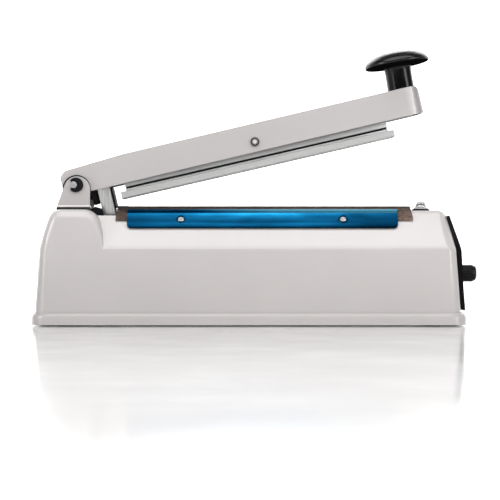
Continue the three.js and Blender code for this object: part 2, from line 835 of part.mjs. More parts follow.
// ---- switch blade ----
const blade = alongY(
  outline([
    [0.6, -0.3],
    [0.6, 0.3],
    [-18, 0.3],
    [-18, -0.3],
  ]),
  -1.9,
  1.9,
).add(rodY(0.9, -1.9, 1.9, 0, 0, 12));
const bladeNode = add(body, "switch_blade", blade, steel);
bladeNode.rotation.y = THREE.MathUtils.degToRad(15);
bladeNode.position.set(-94, 0, 68.8);

export default root;
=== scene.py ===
"""Looks of the hand impulse heat sealer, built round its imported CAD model, in metres."""

import json
import math

import bmesh
import bpy
from mathutils import Matrix, Vector


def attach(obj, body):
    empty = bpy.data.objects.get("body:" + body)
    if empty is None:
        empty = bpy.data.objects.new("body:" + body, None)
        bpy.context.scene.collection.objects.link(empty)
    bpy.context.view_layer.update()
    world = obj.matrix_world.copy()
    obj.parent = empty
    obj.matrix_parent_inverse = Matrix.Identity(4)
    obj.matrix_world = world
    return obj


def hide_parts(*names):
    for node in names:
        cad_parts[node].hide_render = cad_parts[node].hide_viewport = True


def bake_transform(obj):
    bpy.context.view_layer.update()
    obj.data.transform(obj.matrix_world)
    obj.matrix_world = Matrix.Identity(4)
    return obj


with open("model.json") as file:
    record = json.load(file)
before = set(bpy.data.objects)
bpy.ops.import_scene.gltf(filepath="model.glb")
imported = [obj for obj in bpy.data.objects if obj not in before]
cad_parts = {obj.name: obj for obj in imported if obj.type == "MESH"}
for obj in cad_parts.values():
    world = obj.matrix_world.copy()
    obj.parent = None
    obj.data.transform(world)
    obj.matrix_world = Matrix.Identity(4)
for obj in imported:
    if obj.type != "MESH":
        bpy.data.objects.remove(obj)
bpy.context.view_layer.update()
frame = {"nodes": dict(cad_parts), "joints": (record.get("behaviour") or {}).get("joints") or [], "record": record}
nodes = frame["nodes"]

MM = 0.001
REST = {joint["name"]: joint for joint in frame["joints"]}
PIN = Vector(REST["arm_hinge"]["pos_m"])
PIVOT = Vector(REST["press_bar_tilt"]["pos_m"])


# ---------------------------------------------------------------- camera, floor and lights
def show(obj):
    """Puts an object in the scene."""
    bpy.context.scene.collection.objects.link(obj)
    return obj


def aim(obj, target):
    """Turns an object so that it looks at a point."""
    obj.rotation_euler = (Vector(target) - obj.location).to_track_quat("-Z", "Y").to_euler()


camera = show(bpy.data.objects.new("camera", bpy.data.cameras.new("camera")))
camera.location = (-0.0048, -1.1, 0.0558)
camera.rotation_euler = (math.pi / 2, 0, 0)
camera.data.lens = 104.8
camera.data.sensor_width = 36
camera.data.clip_start = 0.05
camera.data.clip_end = 50
bpy.context.scene.camera = camera


def area_light(name, place, target, size, power):
    """A white rectangle of light. Its size is in metres and its power in watts."""
    data = bpy.data.lights.new(name, "AREA")
    data.shape = "RECTANGLE"
    data.size, data.size_y = size
    data.energy = power
    light = show(bpy.data.objects.new(name, data))
    light.location = place
    aim(light, target)
    return light


area_light("key_above", (-0.1, -0.85, 1.05), (0, 0, 0.06), (1.5, 0.6), 8.5)
area_light("top_strip", (0, -0.36, 1.25), (0, 0, 0.08), (1.7, 0.24), 6.5)
fill = area_light("fill_front", (0.1, -1.7, 0.3), (0, 0, 0.08), (1.6, 0.5), 5.7)
fill.visible_glossy = False
behind = area_light("fill_back", (-0.1, 1.7, 0.35), (0, 0, 0.08), (1.6, 0.5), 3.4)
behind.visible_glossy = False
area_light("side_left", (-1.25, -0.72, 0.42), (-0.15, 0, 0.08), (0.12, 0.9), 3.6)
area_light("side_right", (1.15, -0.82, 0.42), (0.15, 0, 0.08), (0.18, 0.9), 5.6)
for word, side, power in (("left", -1, 4.2), ("right", 1, 1.6)):
    place = (side * 1.25, -0.55, 0.52)
    sheen = area_light(f"sheen_{word}", place, (side * 0.15, 0, 0.08), (0.6, 0.4), power)
    sheen.visible_diffuse = False
area_light("back_rim", (0.1, 1.1, 0.9), (0, 0, 0.08), (1.6, 0.6), 6)

# How bright the white surroundings are: to the camera, in reflections, and as light.
WHITE_SEEN = 1.0
WHITE_MIRRORED = 0.16
WHITE_LIGHT = 0.34

world = bpy.data.worlds.new("studio")
bpy.context.scene.world = world
bpy.context.scene.view_settings.view_transform = "Standard"
world.use_nodes = True
sky = world.node_tree
rays = sky.nodes.new("ShaderNodeLightPath")


def white(node, strength):
    """A white background of the strength."""
    node.inputs["Color"].default_value = (1, 1, 1, 1)
    node.inputs["Strength"].default_value = strength
    return node.outputs["Background"]


def for_rays(kind, others, these):
    """One background for rays of a kind and another for the rest."""
    node = sky.nodes.new("ShaderNodeMixShader")
    sky.links.new(rays.outputs[kind], node.inputs["Fac"])
    sky.links.new(others, node.inputs[1])
    sky.links.new(these, node.inputs[2])
    return node.outputs["Shader"]


seen_white = white(sky.nodes["Background"], WHITE_SEEN)
lit_white = white(sky.nodes.new("ShaderNodeBackground"), WHITE_LIGHT)
dim_white = white(sky.nodes.new("ShaderNodeBackground"), WHITE_MIRRORED)
unseen = for_rays("Is Glossy Ray", lit_white, dim_white)
by_ray = for_rays("Is Camera Ray", unseen, seen_white)
sky.links.new(by_ray, sky.nodes["World Output"].inputs["Surface"])



# ---------------------------------------------------------------- materials
class Nodes:
    """A short way to build, or build on, a node tree round one Principled shader."""

    def __init__(self, name="", material=None):
        self.material = material
        if material is None:
            self.material = bpy.data.materials.new(name)
            self.material.use_nodes = True
        self.tree = self.material.node_tree
        self.shader = self.tree.nodes["Principled BSDF"]
        self.place = self.make("ShaderNodeTexCoord").outputs["Object"]

    def make(self, kind, **settings):
        node = self.tree.nodes.new(kind)
        for key, value in settings.items():
            setattr(node, key, value)
        return node

    def link(self, source, target):
        self.tree.links.new(source, target)

    def stretched(self, scale):
        mapping = self.make("ShaderNodeMapping")
        mapping.inputs["Scale"].default_value = scale
        self.link(self.place, mapping.inputs["Vector"])
        return mapping.outputs["Vector"]

    def noise(self, scale, stretch=(1, 1, 1), detail=3.0, rough=0.55):
        node = self.make("ShaderNodeTexNoise")
        node.inputs["Scale"].default_value = scale
        node.inputs["Detail"].default_value = detail
        node.inputs["Roughness"].default_value = rough
        self.link(self.stretched(stretch), node.inputs["Vector"])
        return node.outputs["Fac"]

    def bands(self, scale, direction):
        node = self.make("ShaderNodeTexWave", bands_direction=direction)
        node.inputs["Scale"].default_value = scale
        self.link(self.place, node.inputs["Vector"])
        return node.outputs["Fac"]

    def cells(self, scale, feature="F1"):
        node = self.make("ShaderNodeTexVoronoi", feature=feature)
        node.inputs["Scale"].default_value = scale
        self.link(self.place, node.inputs["Vector"])
        return node.outputs["Distance"]

    def round_spot(self, stretch):
        """1 at the origin, falling evenly to 0 all round."""
        node = self.make("ShaderNodeTexGradient", gradient_type="SPHERICAL")
        self.link(self.stretched(stretch), node.inputs["Vector"])
        return node.outputs["Fac"]

    def remap(self, value, low, high, start=0.3, end=0.7):
        node = self.make("ShaderNodeMapRange")
        node.inputs["From Min"].default_value = start
        node.inputs["From Max"].default_value = end
        node.inputs["To Min"].default_value = low
        node.inputs["To Max"].default_value = high
        self.link(value, node.inputs["Value"])
        return node.outputs["Result"]

    def combine(self, a, b, operation="MULTIPLY"):
        node = self.make("ShaderNodeMath", operation=operation)
        for socket, value in zip(node.inputs, (a, b)):
            if isinstance(value, (int, float)):
                socket.default_value = value
            else:
                self.link(value, socket)
        return node.outputs["Value"]

    def blend(self, factor, first, second):
        node = self.make("ShaderNodeMix", data_type="RGBA")
        self.link(factor, node.inputs["Factor"])
        for socket, value in ((node.inputs["A"], first), (node.inputs["B"], second)):
            if isinstance(value, tuple):
                socket.default_value = (*value, 1)
            else:
                self.link(value, socket)
        return node.outputs["Result"]

    def vector(self, operation, first, second=None):
        """A vector operation. An input is a socket, or a plain vector where it is fixed."""
        node = self.make("ShaderNodeVectorMath", operation=operation)
        for socket, value in zip(node.inputs, (first, second)):
            if isinstance(value, (tuple, Vector)):
                socket.default_value = value
            elif value is not None:
                self.link(value, socket)
        return node.outputs["Value" if operation in ("LENGTH", "DOT_PRODUCT") else "Vector"]

    def scaled(self, colour, factor):
        """A colour, plain or a socket, times a factor's socket."""
        node = self.make("ShaderNodeVectorMath", operation="SCALE")
        if isinstance(colour, tuple):
            node.inputs[0].default_value = colour
        else:
            self.link(colour, node.inputs[0])
        self.link(factor, node.inputs["Scale"])
        return node.outputs["Vector"]

    def axes(self):
        """The X, Y and Z of the place on the object, in metres."""
        node = self.make("ShaderNodeSeparateXYZ")
        self.link(self.place, node.inputs["Vector"])
        return node.outputs

    def stepped(self, value, steps, origin=0.0):
        """Levels along a value. Each step is (how far past the origin, level)."""
        low, high = steps[0][0], steps[-1][0]
        node = self.make("ShaderNodeValToRGB")
        self.link(self.remap(value, 0, 1, origin + low, origin + high), node.inputs["Fac"])
        stops = node.color_ramp.elements
        for i, (reach, level) in enumerate(steps):
            place = (reach - low) / (high - low)
            stop = stops[i] if i < 2 else stops.new(place)
            stop.position = place
            stop.color = (level, level, level, 1)
        return node.outputs["Color"]

    def colour(self, socket):
        self.link(socket, self.shader.inputs["Base Color"])

    def tint(self, factor):
        """Multiplies the colour that the shader already has by a factor's socket."""
        source = self.shader.inputs["Base Color"].links[0].from_socket
        self.colour(self.scaled(source, factor))
        return self.material

    def roughness(self, socket):
        self.link(socket, self.shader.inputs["Roughness"])

    def bump(self, *layers):
        """Each layer is (height socket, depth in metres, strength)."""
        last = None
        for height, depth, strength in layers:
            node = self.make("ShaderNodeBump")
            node.inputs["Distance"].default_value = depth
            node.inputs["Strength"].default_value = strength
            self.link(height, node.inputs["Height"])
            if last is not None:
                self.link(last, node.inputs["Normal"])
            last = node.outputs["Normal"]
        self.link(last, self.shader.inputs["Normal"])

    def sets(self, **values):
        for key, value in values.items():
            self.shader.inputs[key.replace("_", " ")].default_value = value
        return self.material


def shade(colour, factor):
    """A lighter or darker colour."""
    return tuple(min(1, c * factor) for c in colour)


def painted(name, colour, rough=0.36):
    """Smooth powder coat: faint orange peel, and a cast of uneven film thickness."""
    n = Nodes(name)
    wide = n.noise(9, detail=4)
    fine = n.noise(2600, detail=2)
    tone = n.blend(n.remap(wide, 0, 1), shade(colour, 0.955), shade(colour, 1.035))
    n.colour(n.blend(n.remap(fine, 0, 0.35, 0.5, 0.75), tone, shade(colour, 0.86)))
    n.roughness(n.remap(n.noise(40), rough - 0.05, rough + 0.07))
    n.bump((n.noise(520, detail=2), 0.0003, 0.06), (fine, 0.00005, 0.10))
    return n.sets(Coat_Weight=0.55, Coat_Roughness=0.08, Specular_IOR_Level=0.4)


def brushed(name, colour, rough=0.32, along=0, scratch=1900, metallic=1.0, contrast=0.14):
    """Metal with fine lines along one axis, and a few deeper scratches."""
    n = Nodes(name)
    stretch = [1.0, 1.0, 1.0]
    stretch[along] = 0.018
    lines = n.noise(scratch, tuple(stretch), detail=4, rough=0.7)
    broad = n.noise(scratch * 0.16, tuple(stretch), detail=3)
    tone = n.blend(n.remap(lines, 0, 1), shade(colour, 1 - contrast), shade(colour, 1 + contrast))
    worn = n.blend(n.remap(n.noise(30), 0, 0.5), tone, shade(colour, 0.8))
    n.colour(worn)
    n.roughness(n.remap(broad, rough - 0.09, rough + 0.12))
    n.bump((lines, 0.00005, 0.35), (broad, 0.00008, 0.15))
    return n.sets(Metallic=metallic)


# The blue strips: a painted reflection along their length, which brightens from the hinge end and dims towards the
# far one.
BLUE_PAINTED_LIGHT_LEFT = (-0.098, -0.01)
BLUE_PAINTED_LIGHT_RIGHT = (0.04, 0.106)
# A green-grey tint that grows with the square of the painted brightness: it pales the painted highlights.
BLUE_HIGHLIGHT_TINT = (0.002, 0.018, 0.010)
# Along the rolled edge, past the middle of the strip, a paler grey-blue with less metal is painted in: a painted
# reflection.
ROLL_REFLECTION_HEIGHT = (0.0832, 0.0837)
ROLL_REFLECTION_ALONG = (-0.040, 0.018)
ROLL_REFLECTION = ((0.030, 0.180, 0.270), (0.050, 0.235, 0.340))


def dyed(name, colour, steps, rough=0.33):
    """Brushed, dyed aluminium with painted light and shade. Each step is (height in metres, how bright the colour
    is painted there).
    """
    n = Nodes(name)
    lines = n.noise(1500, (0.012, 1, 1), detail=4, rough=0.7)
    broad = n.noise(420, (0.02, 1, 1), detail=3)
    clouds = n.noise(34, (0.55, 1, 1.6), detail=2)
    place = n.axes()
    # Painted light and shade by height, times a random cloudy tone.
    amount = n.combine(n.stepped(place["Z"], steps), n.remap(clouds, 0.6, 1.45, 0.35, 0.65))
    amount = n.combine(amount, n.remap(lines, 0.7, 1.35))
    # Painted reflection along the strip: brightest in the middle, darker towards both ends.
    painted_light_left = n.remap(place["X"], 0.55, 1.15, *BLUE_PAINTED_LIGHT_LEFT)
    painted_light_right = n.remap(place["X"], 1.0, 0.25, *BLUE_PAINTED_LIGHT_RIGHT)
    amount = n.combine(amount, n.combine(painted_light_left, painted_light_right))
    cast = n.scaled(BLUE_HIGHLIGHT_TINT, n.combine(amount, amount))
    total = n.vector("ADD", n.scaled(colour, amount), cast)
    # Painted reflection on the rolled edge, past the middle of the strip.
    rolled = n.remap(place["Z"], 0.0, 1.0, *ROLL_REFLECTION_HEIGHT)
    roll_reflection = n.combine(rolled, n.remap(place["X"], 0.0, 1.0, *ROLL_REFLECTION_ALONG))
    n.colour(n.blend(roll_reflection, total, n.blend(n.remap(lines, 0, 1), *ROLL_REFLECTION)))
    n.link(n.remap(roll_reflection, 1.0, 0.3, 0.0, 1.0), n.shader.inputs["Metallic"])
    n.roughness(n.remap(broad, rough - 0.08, rough + 0.14))
    n.bump((lines, 0.00006, 0.4), (broad, 0.00012, 0.2))
    return n.material


def graded(material, direction, steps, origin=Vector((0, 0, 0))):
    """Paints light and shade along a direction, as a factor on the colour. Each step is (metres from the origin,
    factor).
    """
    n = Nodes(material=material)
    reach = n.vector("DOT_PRODUCT", n.place, direction)
    return n.tint(n.stepped(reach, steps, direction.dot(origin)))


def dark_rimmed(material, centre, radius):
    """A screw head about an axis along Y, with painted light and shade: painted bright in the middle, painted dark
    where it rounds off.
    """
    n = Nodes(material=material)
    n.sets(Metallic=0.5)
    from_axis = n.vector("MULTIPLY", n.vector("SUBTRACT", n.place, centre), (1, 0, 1))
    return n.tint(n.remap(n.vector("LENGTH", from_axis), 1.1, 0.1, 0.5 * radius, radius))


def shadowed(material, reach):
    """Paints shade into a material's grooves, as deep as reach in metres."""
    n = Nodes(material=material)
    groove_shade = n.make("ShaderNodeAmbientOcclusion", samples=8)
    groove_shade.inputs["Distance"].default_value = reach
    return n.tint(n.combine(groove_shade.outputs["AO"], 1.7, "POWER"))


def plated(name, colour, rough=0.3):
    """Zinc plate: cloudy, slightly pitted, nearly even."""
    n = Nodes(name)
    cloud = n.noise(160, detail=5)
    n.colour(n.blend(n.remap(cloud, 0, 1), shade(colour, 0.8), shade(colour, 1.15)))
    n.roughness(n.remap(n.noise(420), rough - 0.08, rough + 0.16))
    n.bump((n.noise(1800, detail=3), 0.00005, 0.25))
    return n.sets(Metallic=1.0)


def moulded(name, colour, rough=0.42, grain=1500, depth=0.00008, coat=0.0, shine=0.3):
    """Injection-moulded plastic with a fine spark-eroded grain."""
    n = Nodes(name)
    cells = n.cells(grain, "SMOOTH_F1")
    wide = n.noise(26, detail=3)
    n.colour(n.blend(n.remap(wide, 0, 1), shade(colour, 0.75), shade(colour, 1.4)))
    n.roughness(n.remap(n.noise(180), rough - 0.06, rough + 0.09))
    n.bump((cells, depth, 0.3), (n.noise(60), 0.0004, 0.06))
    return n.sets(Coat_Weight=coat, Coat_Roughness=0.12, Specular_IOR_Level=shine)


def soft_rubber(name, colour, rough=0.72, dusty=1.7):
    """Matt rubber with a film of dust."""
    n = Nodes(name)
    dust = n.noise(700, detail=5)
    n.colour(n.blend(n.remap(dust, 0, 0.6, 0.45, 0.75), colour, shade(colour, dusty)))
    n.roughness(n.remap(n.noise(120), rough - 0.08, rough + 0.1))
    n.bump((n.noise(1300, detail=4), 0.0001, 0.3))
    return n.sets(Specular_IOR_Level=0.35)


def milky(material):
    """Lets light a little way into a material."""
    shader = material.node_tree.nodes["Principled BSDF"]
    shader.inputs["Subsurface Weight"].default_value = 0.6
    shader.inputs["Subsurface Scale"].default_value = 0.004
    shader.inputs["Subsurface Radius"].default_value = (1.0, 0.95, 0.9)
    return material


WAVE_SCALE = 0.314  # a wave texture of this scale repeats once a metre


def woven(name, colour, pitch, rough=0.45, coat=0.3):
    """Glass cloth with a coating: flat threads that cross at the pitch, in metres."""
    n = Nodes(name)
    scale = WAVE_SCALE / pitch
    warp = n.bands(scale, "X")
    weft = n.bands(scale, "Y")
    cross = n.combine(warp, weft, "MAXIMUM")
    gap = n.combine(warp, weft)
    tone = n.blend(n.remap(cross, 0, 1, 0.2, 0.95), shade(colour, 0.62), shade(colour, 1.12))
    stain = n.noise(55, detail=5)
    n.colour(n.blend(n.remap(stain, 0, 0.55, 0.45, 0.75), tone, shade(colour, 0.6)))
    n.roughness(n.remap(stain, rough - 0.1, rough + 0.12))
    n.bump((cross, 0.00012, 0.45), (gap, 0.00006, 0.3), (n.noise(90), 0.0006, 0.25))
    return n.sets(Coat_Weight=coat, Coat_Roughness=0.3)


# From the deck up to the top of the bar, and from the hinge end to the far end.
STAIN_HEIGHT = (0.0800, 0.0882)
STAIN_ALONG = (-0.102, 0.112)


def stained_cloth(name, colour, pitch):
    """Coated glass cloth browned by heat: darkest on top of the bar and at its hinge end."""
    n = Nodes(material=woven(name, colour, pitch, 0.6, 0.0))
    place = n.axes()
    height = n.remap(place["Z"], 1.25, 0.30, *STAIN_HEIGHT)
    length = n.remap(place["X"], 0.62, 1.35, *STAIN_ALONG)
    mottle = n.remap(n.noise(420, detail=4, rough=0.5), 0.62, 1.3, 0.35, 0.65)
    n.sets(Specular_IOR_Level=0.2)
    return n.tint(n.combine(n.combine(height, length), mottle))


# Painted light and shade on the strips: the rolled edge is painted dark, a painted highlight line lies under it,
# and painted shade darkens the colour downwards.
BLUE_PAINTED_LIGHT_BY_HEIGHT = (
    (0.0708, 0.10),
    (0.0724, 0.28),
    (0.0745, 0.48),
    (0.0780, 0.52),
    (0.0808, 0.78),
    (0.0822, 1.25),
    (0.0829, 1.15),
    (0.0838, 0.60),
    (0.0856, 0.48),
)
casing_grey = (0.474, 0.451, 0.4465)
ARM_TILT = math.radians(13.3)
ALONG_ARM = Vector((math.cos(ARM_TILT), 0, math.sin(ARM_TILT)))
# Painted shade: the casing is a little darker towards its foot, and darkest on the rim's shoulder, where it dims
# the highlight the rim catches from above.
CASING_PAINTED_SHADE = (
    (0.0, 0.94),
    (0.0064, 0.94),
    (0.0073, 0.82),
    (0.0098, 0.82),
    (0.0108, 0.94),
    (0.0520, 1.0),
)
# Painted light on the arm's rounded end: a painted highlight where it catches the light, then painted shade where
# it turns away from it.
ARM_END_PAINTED_LIGHT = (
    (0.2560, 1.0),
    (0.2580, 1.12),
    (0.2600, 1.22),
    (0.2611, 0.90),
    (0.2626, 0.72),
    (0.2680, 0.60),
)
M = {
    # The casing's coat has painted shade towards its foot and on the rim's shoulder.
    "painted_casing": graded(painted("painted_casing", casing_grey), Vector((0, 0, 1)), CASING_PAINTED_SHADE),
    # Painted shade: the arm's and the bracket's coats are darker copies of the casing's grey, and the arm's end
    # has painted light.
    "painted_arm": graded(painted("painted_arm", shade(casing_grey, 0.89)), ALONG_ARM, ARM_END_PAINTED_LIGHT, PIN),
    "painted_bracket": painted("painted_bracket", shade(casing_grey, 0.87), 0.3),
    "zinc_steel": plated("zinc_steel", (0.42, 0.42, 0.43)),
    "bright_screw": plated("bright_screw", (0.33, 0.33, 0.335), 0.3),
    "lever_steel": brushed("lever_steel", (0.80, 0.79, 0.775), 0.42, along=2, scratch=1300, contrast=0.34),
    "spring_steel": plated("spring_steel", (0.26, 0.26, 0.27), 0.28),
    "band_alloy": brushed("band_alloy", (0.36, 0.33, 0.30), 0.4),
    "core_steel": brushed("core_steel", (0.11, 0.11, 0.12), 0.45, along=0, contrast=0.4),
    "bare_aluminium": brushed("bare_aluminium", (0.42, 0.415, 0.41), 0.38, contrast=0.1),
    "blue_anodised": dyed("blue_anodised", (0.0015, 0.084, 0.218), BLUE_PAINTED_LIGHT_BY_HEIGHT),
    "coil_copper": brushed("coil_copper", (0.42, 0.14, 0.04), 0.35, along=1, scratch=2600),
    "black_plastic": moulded("black_plastic", (0.006, 0.006, 0.0065), 0.5, shine=0.05),
    "black_clip": moulded("black_clip", (0.006, 0.006, 0.0065), 0.38, shine=0.12),
    "handle_black": moulded("handle_black", (0.002, 0.002, 0.0023), 0.26, 2400, 0.00001, 0.0, 0.38),
    "board_green": moulded("board_green", (0.012, 0.09, 0.03), 0.35),
    "connector_white": moulded("connector_white", (0.62, 0.6, 0.54), 0.45),
    "red_lens": moulded("red_lens", (0.35, 0.008, 0.006), 0.14, 500, 0.0002, 0.8),
    "black_rubber": soft_rubber("black_rubber", (0.016, 0.016, 0.016)),
    "silicone": milky(soft_rubber("silicone", (0.43, 0.43, 0.425), 0.6, 1.12)),
    "glass_tape": woven("glass_tape", (0.5, 0.47, 0.4), 0.0006, 0.6, 0.0),
    "ptfe_cloth": stained_cloth("ptfe_cloth", (0.094, 0.063, 0.049), 0.0006),
}


# ---------------------------------------------------------------- helpers for pieces
WELD_GAP = 2e-6  # points closer than this are one
BEVEL_FROM = math.radians(28)  # edges sharper than this are rounded
WIDE_BEVEL = 0.0005  # from this width on, the flat faces decide the shading


def smooth(obj, bevel=0.0, angle=33):
    """Rounds the sharp edges of a piece and shades the rest smooth."""
    mesh = obj.data
    if "custom_normal" in mesh.attributes:
        mesh.attributes.remove(mesh.attributes["custom_normal"])
    for face in mesh.polygons:
        face.use_smooth = True
    weld = obj.modifiers.new("weld", "WELD")
    weld.merge_threshold = WELD_GAP
    if bevel:
        edges = obj.modifiers.new("bevel", "BEVEL")
        edges.width = bevel
        edges.segments = 2
        edges.limit_method = "ANGLE"
        edges.angle_limit = BEVEL_FROM
        edges.use_clamp_overlap = True
        edges.miter_outer = "MITER_ARC"
    if bevel >= WIDE_BEVEL:
        even = obj.modifiers.new("even", "WEIGHTED_NORMAL")
        even.weight = 70
        even.keep_sharp = False
        return
    split = obj.modifiers.new("split", "EDGE_SPLIT")
    split.split_angle = math.radians(angle)


def paint(obj, material):
    """Gives an object one material."""
    obj.data.materials.clear()
    obj.data.materials.append(material)


def piece(name, bm, body, slot_name, bevel=0.0, angle=33, material=None):
    """Adds a mesh that rides on a body, with its slot's finish or a material of its own."""
    mesh = bpy.data.meshes.new(name)
    bmesh.ops.recalc_face_normals(bm, faces=bm.faces)
    bm.to_mesh(mesh)
    bm.free()
    obj = show(bpy.data.objects.new(name, mesh))
    paint(obj, material or M[slot_name])
    smooth(obj, bevel, angle)
    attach(obj, body)
    return obj


slot_of = {s["node"]: s["material_slot"] for s in frame["record"]["subparts"]}
# How far the edges of these CAD nodes are rounded, in metres. FINE is for all the others.
EDGE = {
    "upper_casing": 0.0007,
    "arm_channel": 0.0006,
    "hinge_bracket": 0.0006,
    "side_panel": 0.0006,
    "press_bar": 0.0003,
    "silicone_strip": 0.0005,
    "base_plate": 0.0004,
    "switch_lever": 0.0003,
}
FINE = 0.00012
dull_pin = plated("dull_pin", (0.55, 0.55, 0.56), 0.42)
bright_nut = plated("bright_nut", (0.52, 0.52, 0.53), 0.25)
bright_nut.node_tree.nodes["Principled BSDF"].inputs["Metallic"].default_value = 0.65
# The press bar's metal has painted shade in its grooves.
bar_metal = shadowed(brushed("bar_metal", (0.74, 0.74, 0.735), 0.4, contrast=0.08), 0.007)
OWN_FINISH = {
    "press_bar": bar_metal,
    "hinge_pin": dull_pin,
    # The pivot screw's head has a painted highlight in the middle and painted shade round its rim.
    "pivot_screw": dark_rimmed(plated("pivot_steel", (0.72, 0.71, 0.70), 0.28), PIVOT, 0.0022),
    "pivot_nut": bright_nut,
    "terminal_nut": bright_nut,
    "terminal_screw_right": bright_nut,
    "timer_knob": moulded("knob_black", (0.004, 0.004, 0.0045), 0.3, 1500, 0.00003, 0.0, 0.14),
}
for name, obj in nodes.items():
    paint(obj, OWN_FINISH.get(name, M[slot_of[name]]))
    smooth(obj, EDGE.get(name, FINE))


# ---------------------------------------------------------------- measures of the CAD model
SHIFT = -5.5  # from the casing's middle to the middle of the whole object, in mm
SHOULDER = (35.0, 57.5)
DECK = (13.0, 85.3)
RUN = math.hypot(SHOULDER[0] - DECK[0], DECK[1] - SHOULDER[1])
DOWN = ((SHOULDER[0] - DECK[0]) / RUN, (SHOULDER[1] - DECK[1]) / RUN)
BED = (-90.5, 110.3)
CLOTH = (-98.0, 120.2)
STRIP_SCREWS = (-50.5, 69.8)
STRIP_SCREW_DOWN = 10.1


def at(x, y, z):
    """A point in the row frame from casing millimetres."""
    return Vector(((x + SHIFT) * MM, y * MM, z * MM))


def on_slope(s, t):
    """(y, z) of the point s down the rear slope and t out from it, in mm."""
    return DECK[0] + s * DOWN[0] - t * DOWN[1], DECK[1] + s * DOWN[1] + t * DOWN[0]


def rings(sections, caps=True, closed=True):
    """A skin over a row of equal rings of points."""
    bm = bmesh.new()
    rows = [[bm.verts.new(p) for p in section] for section in sections]
    count = len(rows[0])
    for here, ahead in zip(rows, rows[1:]):
        for i in range(count if closed else count - 1):
            j = (i + 1) % count
            bm.faces.new((here[i], here[j], ahead[j], ahead[i]))
    if caps:
        bm.faces.new(reversed(rows[0]))
        bm.faces.new(rows[-1])
    return bm


def revolved(profile, place, sides=96, shape=None):
    """A solid of revolution from (radius, height) in mm, put in place by a matrix."""
    sections = []
    for radius, height in profile:
        ring = []
        for i in range(sides):
            a = 2 * math.pi * i / sides
            r = radius if shape is None else shape(radius, height, a)
            ring.append(place @ Vector((r * math.cos(a) * MM, r * math.sin(a) * MM, height * MM)))
        sections.append(ring)
    return rings(sections)


def curve_through(points, steps):
    """Points on a smooth curve through the given ones."""
    found = []
    for i in range(len(points) - 1):
        before = points[max(i - 1, 0)]
        a, b = points[i], points[i + 1]
        after = points[min(i + 2, len(points) - 1)]
        for k in range(steps):
            t = k / steps
            found.append(
                0.5
                * (
                    2 * a
                    + (b - before) * t
                    + (2 * before - 5 * a + 4 * b - after) * t * t
                    + (3 * a - 3 * b + after - before) * t * t * t
                )
            )
    found.append(points[-1])
    return found


def swept(path, radius, sides=12):
    """A round wire of the radius, in mm, along a path."""
    sections = []
    across = None
    for i, p in enumerate(path):
        ahead = (path[min(i + 1, len(path) - 1)] - path[max(i - 1, 0)]).normalized()
        if across is None:
            across = ahead.orthogonal().normalized()
        across = (across - ahead * across.dot(ahead)).normalized()
        up = ahead.cross(across)
        ring = []
        for k in range(sides):
            a = 2 * math.pi * k / sides
            ring.append(p + (across * math.cos(a) + up * math.sin(a)) * radius * MM)
        sections.append(ring)
    return rings(sections)


def cut(obj, cutters):
    """Takes the cutters away from the object's own mesh."""
    for cutter in cutters:
        trim = obj.modifiers.new("cut", "BOOLEAN")
        trim.object = cutter
        trim.solver = "EXACT"
        bpy.context.view_layer.update()
        graph = bpy.context.evaluated_depsgraph_get()
        obj.data = bpy.data.meshes.new_from_object(obj.evaluated_get(graph))
        obj.modifiers.clear()
        bpy.data.objects.remove(cutter)


def wobble(a, b, seed=0.0):
    """A smooth, repeatable number near -1 to 1."""
    return (
        math.sin(1.7 * a + 0.9 * b + seed)
        + 0.6 * math.sin(3.9 * a - 2.3 * b + 2 * seed)
        + 0.4 * math.sin(8.3 * a + 4.1 * b + 3 * seed)
    ) / 2


# ---------------------------------------------------------------- clamp strips
# (s, t) down the slope and out from it: a rolled upper edge, a small valley, then the flat.
ROLL_CENTRE = 1.75
ROLL_RADIUS = 1.25
ROLL_ANGLES = [math.radians(-120 - 22 * k) for k in range(12)]
ROLL = [(ROLL_CENTRE + ROLL_RADIUS * math.cos(a), ROLL_CENTRE + ROLL_RADIUS * math.sin(a))
        for a in ROLL_ANGLES]
STRIP_FACE = ROLL + [(3.25, 2.05), (3.7, 2.3), (4.2, 2.62), (4.8, 2.66), (5.6, 2.5), (8, 2.42),
                     (10, 2.4), (13, 2.38), (15.5, 2.32), (16.7, 2.2), (17.4, 1.9), (17.8, 1.4),
                     (17.9, 0.9)]
STRIP_BACK = [(17.4, 0.8), (14, 0.8), (8, 0.8), (4, 0.85)]
STRIP_CORNER = 3.7
FLAT_START = 8
FLAT_RUN = 9.9


def strip_section(x, side):
    """One ring of the strip, its lower corner rounded near either end."""
    near_end = min(x - BED[0], BED[1] - x)
    lost = 0.0
    if near_end < STRIP_CORNER:
        lost = STRIP_CORNER - math.sqrt(STRIP_CORNER**2 - (STRIP_CORNER - near_end) ** 2)
    ring = []
    for s, t in STRIP_FACE + STRIP_BACK:
        if s > FLAT_START:
            s = FLAT_START + (s - FLAT_START) * (FLAT_RUN - lost) / FLAT_RUN
        y, z = on_slope(s, t)
        ring.append(at(x, side * y, z))
    return ring


def strip_columns():
    """Where the strip's rings stand: close together at its ends, even between them."""
    fine = [0, 0.12, 0.4, 0.9, 1.6, 2.6, 3.7, 6]
    end = fine[-1]
    middle = [BED[0] + end + k * (BED[1] - BED[0] - 2 * end) / 60 for k in range(1, 60)]
    return [BED[0] + d for d in fine] + middle + [BED[1] - d for d in reversed(fine)]


